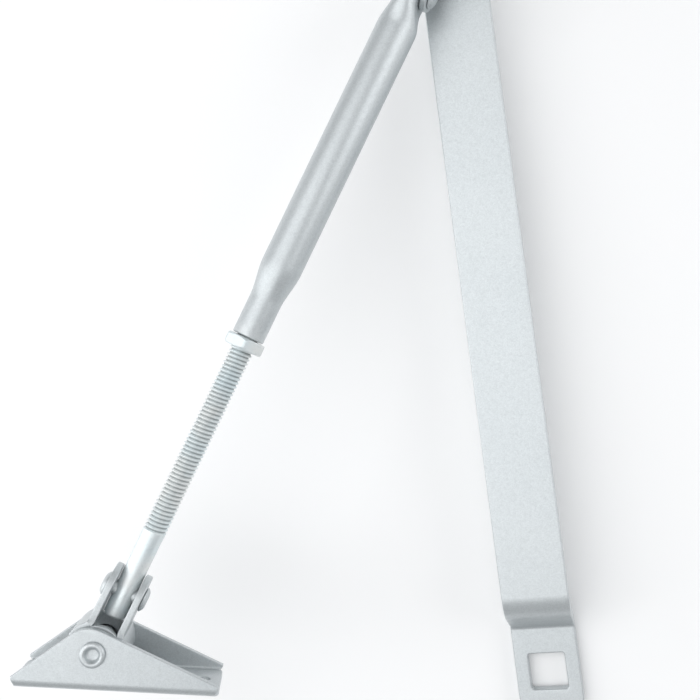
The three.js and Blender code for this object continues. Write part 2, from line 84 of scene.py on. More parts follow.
CROSS_RIVET = {"shank": 2.5, "head": 4.0, "height": 1.6, "rim": 0.6, "crown": 2.6}
TUBE = {
    "radius": 7.0, "wall": 1.5, "tongue_thick": 7.4, "tongue_height": 17.6,
    "squeeze": (4.8, 15.0), "taper": (102.8, 116.0), "end": 129.2, "neck": 5.5, "rim": 0.4,
    "thread_play": 0.2,
}
ROD = {
    "radius": 3.95, "root": 3.28, "shank": 3.75, "thread": 111.0, "plain": 20.5, "past": 8.6,
    "chamfer": 0.5, "pitch": 25.4 / 18, "centres": 222.0, "crest": 0.16, "flank": 0.34,
    "run_in_turns": 0.3, "run_out_turns": 1.6, "end_round": 1.1,
}
NUT = {
    "flats": 13.0, "thick": 4.0, "gap": 0.3, "bore": 4.15, "corner_at": radians(18),
    "lead": 0.5, "face_share": 0.94, "corner_share": 0.975, "soft": 0.12, "chamfer": radians(30),
}
SHOE = {
    "length": 65.0, "width": 25.0, "sheet": 2.2, "apex_height": 19.8, "apex_radius": 9.0,
    "apex_offset": -1.4, "end_height": 2.4, "pivot_height": 11.8, "pivot_from_heel": 24.7,
    "bend": 3.0, "screw": 2.4, "screw_inset": 6.0, "corner": 1.3, "relief": 1.0, "relief_reach": 1.2,
}
ELBOW_RIVET = {"shank": 4.0, "head": 7.5, "height": 3.0, "crown": 4.5, "brow": 6.75}
ELBOW_BUSH = 5.2
WASHER = {"radius": 8.0, "thick": 1.2}
SHOE_BUSH = 4.0
SHOE_RIVET = {
    "shank": 3.0, "head": 4.1, "height": 1.1, "dimple": 2.6, "depth": 1.6, "floor": 1.8,
    "roll": 3.5, "back": 3.1,
}


# ---- Places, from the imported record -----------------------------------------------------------
def joint(name):
    return next(j for j in frame["joints"] if j["name"] == name)


def place(origin, x, y):
    """The matrix of a local frame whose x and y axes are given in the row frame."""
    x = Vector(x).normalized()
    z = x.cross(Vector(y)).normalized()
    y = z.cross(x)
    turn = Matrix((x, y, z)).transposed().to_4x4()
    return Matrix.Translation(Vector(origin)) @ turn


def minus(vector):
    return -Vector(vector)


elbow_pivot = Vector(joint("elbow_swivel")["pos_m"])
elbow_rivet_point = Vector(joint("elbow_tilt")["pos_m"])
rod_rivet_point = Vector(joint("shoe_tilt")["pos_m"])
shoe_pivot = Vector(joint("shoe_swivel")["pos_m"])
shoe_pivot_axis = Vector(joint("shoe_swivel")["axis"])
rod_axis = Vector(joint("rod_turn")["axis"])
mounts = {m["name"]: m for m in frame["record"]["mounts"]}
shoe_up = minus(mounts["shoe_base"]["axis"])

AT_ARM = Matrix.Identity(4)
AT_ELBOW = Matrix.Translation((elbow_pivot.x, elbow_pivot.y, 0))
AT_ELBOW_LINK = place(elbow_pivot, elbow_rivet_point - elbow_pivot, minus(joint("elbow_tilt")["axis"]))
AT_ELBOW_RIVET = AT_ELBOW_LINK @ Matrix.Translation((ELBOW_LINK["reach"] * MM, 0, 0))
AT_FOREARM = place(elbow_rivet_point, rod_axis, minus(joint("elbow_tilt")["axis"]))
AT_ROD = place(elbow_rivet_point, rod_axis, minus(joint("shoe_tilt")["axis"]))
AT_SHOE_LINK = place(shoe_pivot, rod_rivet_point - shoe_pivot, joint("shoe_tilt")["axis"])
AT_ROD_RIVET = AT_SHOE_LINK @ Matrix.Translation((SHOE_LINK["reach"] * MM, 0, 0))
AT_SHOE = place(shoe_pivot, shoe_up.cross(shoe_pivot_axis), shoe_up)


# ---- Mesh helpers -------------------------------------------------------------------------
def arc(centre, radius, start, end, steps):
    """Points from one angle to another about a centre, both ends included."""
    return [
        (centre[0] + radius * cos(start + (end - start) * i / steps),
         centre[1] + radius * sin(start + (end - start) * i / steps))
        for i in range(steps + 1)
    ]


def circle(centre, radius, steps=48):
    """A hole's rim, clockwise, so that the metal lies on its left."""
    return arc(centre, radius, 2 * pi, 0, steps)[:-1]


def curve_to(start, corner, end, steps):
    """Points along a quadratic curve, without its start."""
    points = []
    for i in range(1, steps + 1):
        t = i / steps
        weights = ((1 - t) ** 2, 2 * t * (1 - t), t * t)
        points.append(tuple(sum(w * p[k] for w, p in zip(weights, (start, corner, end))) for k in (0, 1)))
    return points


def soften(points, size, steps=4, closed=False):
    """The same line with each corner rounded over at most `size` on either side."""
    result = []
    count = len(points)
    for i, point in enumerate(points):
        if not closed and i in (0, count - 1):
            result.append(point)
            continue
        here = Vector(point)
        before = Vector(points[i - 1]) - here
        after = Vector(points[(i + 1) % count]) - here
        if before.length < FINE or after.length < FINE or before.angle(after) > radians(176):
            result.append(point)
            continue
        start = here + before.normalized() * min(size, 0.45 * before.length)
        end = here + after.normalized() * min(size, 0.45 * after.length)
        result.append(tuple(start))
        result.extend(curve_to(start, here, end, steps))
    return result


def inset(loop, distance):
    """The loop moved to its left, into the metal, by a distance."""
    moved = []
    count = len(loop)
    for i, point in enumerate(loop):
        here = Vector(point)
        before = (here - Vector(loop[i - 1])).normalized()
        after = (Vector(loop[(i + 1) % count]) - here).normalized()
        normals = Vector((-before.y, before.x)), Vector((-after.y, after.x))
        lean = max(0.3, 1 + normals[0].dot(normals[1]))
        moved.append(tuple(here + (normals[0] + normals[1]) * distance / lean))
    return moved


def sheet_mesh(loops, thick, edge, bends=(), bend_axis=(0, 1), at=None):
    """A flat blank with rounded rims, cut across at each of its bends and then bent by `at`.

    The first loop is the outline, anticlockwise, and the others are holes, clockwise. `bends`
    are distances along bend_axis, and `at` takes a blank's point and its height in the sheet.
    """
    bm = bmesh.new()
    half = thick / 2
    steps = 3
    quarter = [i * pi / 2 / steps for i in range(steps + 1)]
    levels = [(edge * (1 - sin(a)), -half + edge * (1 - cos(a))) for a in quarter]
    levels += [(edge * (1 - cos(a)), half - edge * (1 - sin(a))) for a in quarter]
    rims = [[] for _ in levels]
    for loop in loops:
        rows = [
            [bm.verts.new((x, y, height)) for x, y in inset(loop, depth)]
            for depth, height in levels
        ]
        for rim, row in zip(rims, rows):
            rim.append(row)
        count = len(loop)
        for low, high in zip(rows, rows[1:]):
            for i in range(count):
                j = (i + 1) % count
                bm.faces.new((low[i], low[j], high[j], high[i]))
    for rim, up in ((rims[0], False), (rims[-1], True)):
        flat = [vert for row in rim for vert in row]
        for triangle in tessellate_polygon([[vert.co for vert in row] for row in rim]):
            corners = [flat[i] for i in triangle]
            normal = (corners[1].co - corners[0].co).cross(corners[2].co - corners[0].co)
            if (normal.z > 0) != up:
                corners.reverse()
            bm.faces.new(corners)
    across = Vector((*bend_axis, 0))
    for distance in bends:
        everything = bm.verts[:] + bm.edges[:] + bm.faces[:]
        bmesh.ops.bisect_plane(bm, geom=everything, dist=FINE, plane_co=across * distance, plane_no=across)
    if at:
        for vert in bm.verts:
            vert.co = at(*vert.co)
    bmesh.ops.recalc_face_normals(bm, faces=bm.faces)
    return bm


def turned_mesh(profile, axis="Z", segments=64, closed=False):
    """A turned piece. The profile lists (radius, height), from the axis back to the axis."""
    bm = bmesh.new()
    rows = []
    for radius, height in profile:
        if radius < FINE:
            rows.append([bm.verts.new((0, 0, height))] * segments)
            continue
        angles = [2 * pi * i / segments for i in range(segments)]
        rows.append([bm.verts.new((radius * cos(a), radius * sin(a), height)) for a in angles])
    pairs = list(zip(rows, rows[1:]))
    if closed:
        pairs.append((rows[-1], rows[0]))
    for low, high in pairs:
        for i in range(segments):
            j = (i + 1) % segments
            corners = []
            for vert in (low[i], low[j], high[j], high[i]):
                if vert not in corners:
                    corners.append(vert)
            if len(corners) > 2:
                bm.faces.new(corners)
    if axis == "X":
        bm.transform(Matrix(((0, 0, 1, 0), (1, 0, 0, 0), (0, 1, 0, 0), (0, 0, 0, 1))))
    if axis == "Y":
        bm.transform(Matrix(((0, 1, 0, 0), (0, 0, 1, 0), (1, 0, 0, 0), (0, 0, 0, 1))))
    bmesh.ops.recalc_face_normals(bm, faces=bm.faces)
    return bm


def to_object(name, bm):
    mesh = bpy.data.meshes.new(name)
    bm.to_mesh(mesh)
    bm.free()
    made = bpy.data.objects.new(name, mesh)
    bpy.context.scene.collection.objects.link(made)
    return made


def combined(name, first, others, operation):
    """One mesh from several by boolean, back as a bmesh."""
    target = to_object(name, first)
    tools = [to_object(name + "_tool", other) for other in others]
    for tool in tools:
        step = target.modifiers.new("step", "BOOLEAN")
        step.operation = operation
        step.solver = "EXACT"
        step.object = tool
    graph = bpy.context.evaluated_depsgraph_get()
    result = bpy.data.meshes.new_from_object(target.evaluated_get(graph))
    for used in [target, *tools]:
        mesh = used.data
        bpy.data.objects.remove(used)
        bpy.data.meshes.remove(mesh)
    bm = bmesh.new()
    bm.from_mesh(result)
    bpy.data.meshes.remove(result)
    return bm


def piece(name, bm, at, body, node, material, sharp=35):
    """Finishes a millimetre mesh into a placed piece that stands for a CAD node."""
    bm.transform(at @ Matrix.Scale(MM, 4))
    made = to_object(name, bm)
    made.data.materials.append(material)
    made.data.shade_smooth()
    made.data.set_sharp_from_angle(angle=radians(sharp))
    weighted = made.modifiers.new("weighted", "WEIGHTED_NORMAL")
    weighted.keep_sharp = True
    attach(made, body)
    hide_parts(node)
    return made


# ---- Materials ------------------------------------------------------------------------------
class Look:
    """A node material about one Principled shader, in the row frame at rest."""

    def __init__(self, name, metallic, roughness, coat=0.0):
        self.material = bpy.data.materials.new(name)
        self.material.use_nodes = True
        self.tree = self.material.node_tree
        self.shader = self.tree.nodes["Principled BSDF"]
        self.shader.inputs["Metallic"].default_value = metallic
        self.shader.inputs["Roughness"].default_value = roughness
        self.shader.inputs["Coat Weight"].default_value = coat
        self.shader.inputs["Coat Roughness"].default_value = 0.25
        self.coordinates = self.tree.nodes.new("ShaderNodeTexCoord").outputs["Object"]

    def link(self, source, socket):
        self.tree.links.new(source, socket)

    def stretched(self, size, at):
        """Coordinates turned into a piece's own frame and divided by the size of a feature."""
        node = self.tree.nodes.new("ShaderNodeMapping")
        node.vector_type = "TEXTURE"
        node.inputs["Rotation"].default_value = at.to_euler()
        node.inputs["Scale"].default_value = size
        self.link(self.coordinates, node.inputs["Vector"])
        return node.outputs["Vector"]

    def noise(self, scale, detail=2.0, rough=0.5, grain=None):
        node = self.tree.nodes.new("ShaderNodeTexNoise")
        node.inputs["Scale"].default_value = scale
        node.inputs["Detail"].default_value = detail
        node.inputs["Roughness"].default_value = rough
        vector = self.stretched(*grain) if grain else self.coordinates
        self.link(vector, node.inputs["Vector"])
        return node.outputs["Fac"]

    def flakes(self, scale):
        """A random value for each tiny cell."""
        node = self.tree.nodes.new("ShaderNodeTexVoronoi")
        node.inputs["Scale"].default_value = scale
        self.link(self.coordinates, node.inputs["Vector"])
        split = self.tree.nodes.new("ShaderNodeSeparateColor")
        self.link(node.outputs["Color"], split.inputs["Color"])
        return split.outputs["Red"]

    def spread(self, value, low, high, between=(0.0, 1.0)):
        node = self.tree.nodes.new("ShaderNodeMapRange")
        node.inputs["From Min"].default_value, node.inputs["From Max"].default_value = between
        node.inputs["To Min"].default_value = low
        node.inputs["To Max"].default_value = high
        self.link(value, node.inputs["Value"])
        return node.outputs["Result"]

    def worked(self, operation, first, second):
        node = self.tree.nodes.new("ShaderNodeMath")
        node.operation = operation
        for socket, value in zip(node.inputs, (first, second)):
            if isinstance(value, float):
                socket.default_value = value
            else:
                self.link(value, socket)
        return node.outputs["Value"]

    def mixed(self, factor, first, second):
        node = self.tree.nodes.new("ShaderNodeMix")
        node.data_type = "RGBA"
        self.link(factor, node.inputs["Factor"])
        sockets = [s for s in node.inputs if s.type == "RGBA"]
        for socket, value in zip(sockets, (first, second)):
            if isinstance(value, tuple):
                socket.default_value = (*value, 1)
            else:
                self.link(value, socket)
        return next(s for s in node.outputs if s.type == "RGBA")

    def bumped(self, layers):
        """Bumps one over the other: (height, strength, depth in metres)."""
        below = None
        for height, strength, depth in layers:
            node = self.tree.nodes.new("ShaderNodeBump")
            node.inputs["Strength"].default_value = strength
            node.inputs["Distance"].default_value = depth
            self.link(height, node.inputs["Height"])
            if below:
                self.link(below, node.inputs["Normal"])
            below = node.outputs["Normal"]
        self.link(below, self.shader.inputs["Normal"])

    def colour(self, value):
        self.link(value, self.shader.inputs["Base Color"])

    def rough(self, value):
        self.link(value, self.shader.inputs["Roughness"])

    def edges(self, low=0.505, high=0.56):
        """1 on outside edges, 0 on flats."""
        node = self.tree.nodes.new("ShaderNodeNewGeometry")
        return self.spread(node.outputs["Pointiness"], 0.0, 1.0, (low, high))


def silver_paint():
    look = Look("silver_paint", metallic=0.7, roughness=0.42, coat=0.1)
    flakes = look.flakes(3200)
    coarse = look.flakes(1200)
    grain = look.noise(1100, detail=3, rough=0.6)
    tone = look.mixed(look.noise(30, detail=2), (0.510, 0.545, 0.560), (0.560, 0.590, 0.600))
    tone = look.mixed(look.spread(flakes, 0.0, 0.22), tone, (0.84, 0.88, 0.90))
    tone = look.mixed(look.spread(coarse, 0.08, 0.0, (0.0, 0.35)), tone, (0.30, 0.31, 0.32))
    worn = look.worked("MULTIPLY", look.edges(), look.noise(260, detail=5, rough=0.7))
    look.colour(look.mixed(look.spread(worn, 0.0, 0.6, (0.3, 0.8)), tone, (0.80, 0.82, 0.82)))
    look.rough(look.spread(grain, 0.38, 0.50, (0.3, 0.7)))
    look.bumped([
        (look.noise(260, detail=2), 0.10, 0.00010),
        (grain, 0.20, 0.00004),
        (flakes, 0.15, 0.00002),
    ])
    return look.material


def zinc_plate():
    look = Look("zinc_plate", metallic=0.75, roughness=0.46)
    warm = look.spread(look.noise(90, detail=2), 0.0, 1.0, (0.35, 0.65))
    tone = look.mixed(warm, (0.74, 0.81, 0.83), (0.80, 0.82, 0.815))
    spots = look.spread(look.noise(900, detail=3, rough=0.65), 0.0, 0.35, (0.52, 0.75))
    tone = look.mixed(spots, tone, (0.50, 0.56, 0.58))
    # painted shade: hollows such as the thread's grooves are darkened in the colour, towards near-black
    groove_shade = look.edges(0.497, 0.455)
    look.colour(look.mixed(look.spread(groove_shade, 0.0, 0.9), tone, (0.16, 0.18, 0.185)))
    look.rough(look.spread(look.noise(180, detail=4), 0.42, 0.58, (0.3, 0.7)))
    scratches = look.noise(1.0, detail=4, rough=0.6, grain=((0.006, 0.0007, 0.0007), AT_ROD))
    look.bumped([(scratches, 0.12, 0.00004), (look.noise(420, detail=3), 0.15, 0.00005)])
    return look.material


def bare_steel():
    look = Look("bare_steel", metallic=1.0, roughness=0.36)
    stains = look.spread(look.noise(260, detail=4, rough=0.6), 0.0, 1.0, (0.35, 0.7))
    look.colour(look.mixed(stains, (0.60, 0.61, 0.62), (0.46, 0.465, 0.47)))
    look.rough(look.spread(look.noise(500, detail=2), 0.28, 0.48, (0.3, 0.7)))
    turning = look.noise(1.0, detail=3, grain=((0.0015, 0.0015, 0.0002), AT_SHOE))
    look.bumped([(turning, 0.2, 0.00003)])
    return look.material


PAINT = silver_paint()
ZINC = zinc_plate()
STEEL = bare_steel()


# ---- Main arm -------------------------------------------------------------------------------
class CentreLine:
    """A bent line: `walk` points with the direction at each, looked up by distance along it."""

    def __init__(self, points, zero):
        self.points = points
        steps = [(b[0] - a[0], b[1] - a[1]) for a, b in zip(points, points[1:])]
        self.lengths = [0.0]
        for x, y in steps:
            self.lengths.append(self.lengths[-1] + hypot(x, y))
        headings = [atan2(y, x) for x, y in steps]
        middles = [(a + b) / 2 for a, b in zip(headings, headings[1:])]
        self.headings = [headings[0], *middles, headings[-1]]
        self.zero = self.lengths[zero]

    def distances(self):
        return [length - self.zero for length in self.lengths]

    def point(self, distance, offset):
        """The point that far along, and `offset` to the left of the line."""
        along = distance + self.zero
        last = len(self.lengths) - 2
        i = next((k for k in range(last) if along <= self.lengths[k + 1]), last)
        span = self.lengths[i + 1] - self.lengths[i]
        t = (along - self.lengths[i]) / span
        a, b = self.points[i], self.points[i + 1]
        heading = self.headings[i] + (self.headings[i + 1] - self.headings[i]) * min(max(t, 0), 1)
        return (
            a[0] + (b[0] - a[0]) * t - offset * sin(heading),
            a[1] + (b[1] - a[1]) * t + offset * cos(heading),
        )


def crank_line():
    """Along the plate's mid-plane: (y, z), with zero distance at the square hole."""
    middle = ARM["thick"] / 2
    angle, steps = ARM["crank_angle"], 14
    low, high = ARM["lower_radius"], ARM["upper_radius"]
    slope = (ARM["rise"] - (low + high) * (1 - cos(angle))) / sin(angle)
    lower = [
        (ARM["crank_start"] + low * sin(a), middle + low * (1 - cos(a)))
        for a in (angle * i / steps for i in range(steps + 1))
    ]
    brow = (lower[-1][0] + slope * cos(angle), lower[-1][1] + slope * sin(angle))
    upper = [
        (brow[0] + high * (sin(angle) - sin(a)), brow[1] + high * (cos(a) - cos(angle)))
        for a in (angle * (1 - i / steps) for i in range(steps + 1))
    ]
    tip = (ARM["centres"] + ARM["width"], middle + ARM["rise"])
    return CentreLine([(-2 * ARM["tail"], middle), (0, middle), *lower, *upper, tip], zero=1)


def main_arm():
    line = crank_line()
    flats = line.distances()
    stretch = flats[-1] - (ARM["centres"] + ARM["width"])
    elbow = ARM["centres"] + stretch
    half, corner, tail = ARM["width"] / 2, ARM["corner"], ARM["tail"]
    outline = arc((-half + corner, -tail + corner), corner, pi, 1.5 * pi, 10)
    outline += arc((half - corner, -tail + corner), corner, 1.5 * pi, 2 * pi, 10)
    outline += arc((0, elbow), half, 0, pi, 48)
    side, r = ARM["square"] / 2, ARM["square_corner"]
    square = []
    for x, y, start in ((1, 1, 0.5), (1, -1, 0), (-1, -1, -0.5), (-1, 1, -1)):
        square += arc((x * (side - r), y * (side - r)), r, start * pi, (start - 0.5) * pi, 6)
    hole = circle((0, elbow), ELBOW_RIVET["shank"] + PLAY)
    bm = sheet_mesh(
        [outline, square, hole], ARM["thick"], ARM["edge"], bends=flats[2:-1],
        at=lambda x, s, w: (x, *line.point(s, w)),
    )
    return piece("main_arm_plate", bm, AT_ARM, "main_arm", "main_arm", PAINT)


# ---- Links ------------------------------------------------------------------------------------
def prong_line(size):
    """A prong's mid-line from its flared end, seen along the pivot, and where its straight starts."""
    centre = LINK["gap"] / 2 + LINK["sheet"] / 2
    radius = LINK["ear"] + LINK["step"] - LINK["sheet"] / 2
    fillet = LINK["fillet"]
    fillet_x = sqrt((radius + fillet) ** 2 - (centre + fillet) ** 2)
    turn = atan2(centre + fillet, fillet_x)
    flare = arc((0, 0), radius, LINK["flare_end"], turn, 10)
    blend = arc((fillet_x, centre + fillet), fillet, turn + pi, 1.5 * pi, 10)
    end = (size["reach"] + 2 * size["tip"], centre)
    return CentreLine([*flare, *blend[1:], end], zero=0), fillet_x


def prong(size, side):
    line, straight_x = prong_line(size)
    flats = line.distances()
    straight = flats[-2]
    along = lambda x: straight + x - straight_x
    half, tip = LINK["height"] / 2, size["tip"]
    shoulder = (along(LINK["shoulder"]), -half)
    tip_start = (along(size["reach"]), -tip)
    waist = (along(LINK["waist"]), -tip - LINK["swell"])
    lower = soften([(0, 0), (0, -half), shoulder], 0.8)[1:-1]
    lower += [shoulder, *curve_to(shoulder, waist, tip_start, 12)]
    nose = arc((along(size["reach"]), 0), tip, -pi / 2, pi / 2, 28)[1:-1]
    upper = [(s, -z) for s, z in reversed(lower)]
    hole = circle((along(size["reach"]), 0), CROSS_RIVET["shank"] + PLAY, 32)

    def bent(s, z, w):
        x, y = line.point(s, w)
        return (x, side * y, z)

    outline = lower + nose + upper
    return sheet_mesh([outline, hole], LINK["sheet"], EDGE, bends=flats[1:-1], bend_axis=(1, 0), at=bent)


def ear(low, hole_radius):
    back = [(LINK["ear_back"] * cos(a), LINK["ear"] * sin(a)) for a in
            (pi / 2 + pi * i / 30 for i in range(1, 30))]
    outline = arc((0, 0), LINK["ear"], -pi / 2, pi / 2, 32) + back
    bm = sheet_mesh([outline, circle((0, 0), hole_radius, 40)], LINK["sheet"], EDGE)
    bm.transform(Matrix.Translation((0, 0, low + LINK["sheet"] / 2)))
    return bm


def link(name, size, hole_radius, at, body, node):
    low = -LINK["height"] / 2 + LINK["ear_inset"]
    ears = [ear(low, hole_radius), ear(-low - LINK["sheet"], hole_radius)]
    bm = combined(name, prong(size, 1), [prong(size, -1), *ears], "UNION")
    return piece(name, bm, at, body, node, PAINT)


def cross_bore(x=0.0):
    """A cutter for a cross rivet's hole, along y."""
    hole = CROSS_RIVET["shank"] + PLAY
    profile = [(0, -BORE_REACH), (hole, -BORE_REACH), (hole, BORE_REACH), (0, BORE_REACH)]
    bm = turned_mesh(profile, axis="Y", segments=48)
    bm.transform(Matrix.Translation((x, 0, 0)))
    return bm


def cross_rivet(name, at, body, node):
    seat = LINK["gap"] / 2 + LINK["sheet"] + GAP
    r = CROSS_RIVET
    half = [(r["shank"], seat), (r["head"], seat), (r["head"], seat + r["rim"]),
            (r["crown"], seat + r["height"]), (0, seat + r["height"])]
    other = [(radius, -height) for radius, height in reversed(half)]
    bm = turned_mesh(soften(other + half, 0.6), axis="Y", segments=48)
    return piece(name, bm, at, body, node, PAINT, sharp=60)


# ---- Elbow ------------------------------------------------------------------------------------
ARM_TOP = ARM["thick"] + ARM["rise"]
LINK_LOW = ARM_TOP + GAP + WASHER["thick"] + PLAY
UPPER_WASHER = LINK_LOW + LINK["height"] + PLAY


def ring_mesh(inner, outer, low, high):
    profile = [(inner, low), (outer, low), (outer, high), (inner, high)]
    return turned_mesh(soften(profile, 0.25, closed=True), closed=True)


def elbow_rivet():
    r = ELBOW_RIVET
    low = ARM["rise"] - GAP
    high = UPPER_WASHER + WASHER["thick"] + GAP
    foot, top = low - r["height"], high + r["height"]

    def dome(seat, end):
        return [(r["shank"], seat), (r["head"], seat), (r["brow"], (seat + end) / 2),
                (r["crown"], end), (0, end)]

    profile = dome(low, foot)[::-1] + dome(high, top)
    bm = turned_mesh(soften(profile, 1.0, steps=5))
    node = "elbow_pivot_rivet"
    return piece("elbow_rivet", bm, AT_ELBOW, "main_arm", node, PAINT, sharp=60)


def elbow_rings():
    bore = ELBOW_RIVET["shank"] + PLAY
    wide, thick = WASHER["radius"], WASHER["thick"]
    lower = ARM_TOP + GAP
    rings = (
        ("lower_washer", "elbow_lower_washer", wide, lower, lower + thick),
        ("upper_washer", "elbow_upper_washer", wide, UPPER_WASHER, UPPER_WASHER + thick),
        ("elbow_sleeve", "elbow_bush", ELBOW_BUSH, lower + GAP + thick, UPPER_WASHER - GAP),
    )
    for name, node, outer, low, high in rings:
        piece(name, ring_mesh(bore, outer, low, high), AT_ELBOW, "main_arm", node, STEEL)


# ---- Forearm ----------------------------------------------------------------------------------
def smooth(x, low, high):
    t = min(max((x - low) / (high - low), 0), 1)
    return t * t * (3 - 2 * t)


def tube_half_sizes(x):
    """Half the tube's breadth and height at a distance from the elbow's cross rivet."""
    squeeze = 1 - smooth(x, *TUBE["squeeze"])
    taper = smooth(x, *TUBE["taper"])
    plain = TUBE["radius"] + (TUBE["neck"] - TUBE["radius"]) * taper
    return (
        plain + (TUBE["tongue_thick"] / 2 - plain) * squeeze,
        plain + (TUBE["tongue_height"] / 2 - plain) * squeeze,
    )


def forearm_tube():
    sides = 96
    nose = TUBE["tongue_height"] / 2
    spans = (TUBE["squeeze"], TUBE["taper"])
    bends = [start + (end - start) * i / 24 for start, end in spans for i in range(25)]
    tongue = [-nose * (1 - i / 6) for i in range(7)]
    rim = TUBE["rim"]
    stations = sorted([*tongue, 2.5, *bends, 40.0, 70.0, TUBE["end"] - rim, TUBE["end"]])
    thread_room = ROD["radius"] + TUBE["thread_play"]

    def row(bm, x, depth):
        breadth, height = tube_half_sizes(x)
        radius = breadth - depth
        if depth > rim and x > TUBE["taper"][0]:
            radius = min(radius, thread_room)
        verts = []
        for i in range(sides):
            turn = 2 * pi * (i + 0.5) / sides
            straight = (height - breadth) * (1 if sin(turn) > 0 else -1)
            z = radius * sin(turn) + straight
            # the squeezed end is cut round about the cross rivet
            start = -sqrt(max(nose ** 2 - min(abs(z), nose) ** 2, 0))
            share = min(max(x / nose, -1), 0)
            along = x if x > 0 else -start * share
            verts.append(bm.verts.new((along, radius * cos(turn), z)))
        return verts

    bm = bmesh.new()
    outside = [row(bm, x, rim if x == TUBE["end"] else 0.0) for x in stations]
    inside = [row(bm, x, TUBE["wall"]) for x in reversed(stations)]
    rows = outside + inside
    for low, high in zip(rows, rows[1:] + rows[:1]):
        for i in range(sides):
            j = (i + 1) % sides
            bm.faces.new((low[i], low[j], high[j], high[i]))
    bmesh.ops.recalc_face_normals(bm, faces=bm.faces)
    bm = combined("forearm", bm, [cross_bore()], "DIFFERENCE")
    return piece("forearm_tube_body", bm, AT_FOREARM, "forearm", "forearm_tube", PAINT)


def jam_nut():
    """A hexagon chamfered on both faces, with its corners a little rounded."""
    sides = 144
    low = TUBE["end"] + NUT["gap"]
    middle = low + NUT["thick"] / 2
    half = NUT["thick"] / 2
    apothem = NUT["flats"] / 2
    face = NUT["face_share"] * apothem
    blunt = NUT["corner_share"] * apothem / cos(pi / 6)
    slope = tan(NUT["chamfer"])
    bm = bmesh.new()

    def row(radius_at, height_at):
        verts = []
        for i in range(sides):
            turn = NUT["corner_at"] + 2 * pi * i / sides
            sixth = (2 * pi * i / sides) % (pi / 3) - pi / 6
            corner = min(apothem / cos(sixth), blunt)
            radius = radius_at(corner)
            verts.append(bm.verts.new((middle + height_at(radius), radius * sin(turn), radius * cos(turn))))
        return verts

    edge = lambda corner: corner
    soft = lambda corner: corner - NUT["soft"]
    drop = lambda radius: half - max(radius - face, 0) * slope
    bore, lead = NUT["bore"], NUT["lead"]
    upper = [
        row(lambda _: bore, lambda _: half - lead),
        row(lambda _: bore + lead, lambda _: half),
        row(lambda _: face, lambda _: half),
        row(soft, drop),
        row(edge, lambda radius: drop(radius) - NUT["soft"]),
    ]
    lower = [
        row(edge, lambda radius: -drop(radius) + NUT["soft"]),
        row(soft, lambda radius: -drop(radius)),
        row(lambda _: face, lambda _: -half),
        row(lambda _: bore + lead, lambda _: -half),
        row(lambda _: bore, lambda _: -half + lead),
    ]
    rows = upper + lower
    for first, second in zip(rows, rows[1:] + rows[:1]):
        for i in range(sides):
            j = (i + 1) % sides
            bm.faces.new((first[i], first[j], second[j], second[i]))
    bmesh.ops.recalc_face_normals(bm, faces=bm.faces)
    return piece("hex_jam_nut", bm, AT_FOREARM, "nut", "jam_nut", ZINC, sharp=20)


def thread_depth(phase):
    """How far below the crest, 0 to 1, at a share of the pitch: flat crest, flanks, flat root."""
    crest, flank = ROD["crest"], ROD["flank"]
    if phase < crest / 2 or phase > 1 - crest / 2:
        return 0.0
    inward = min(phase, 1 - phase) - crest / 2
    return min(inward / flank, 1.0)


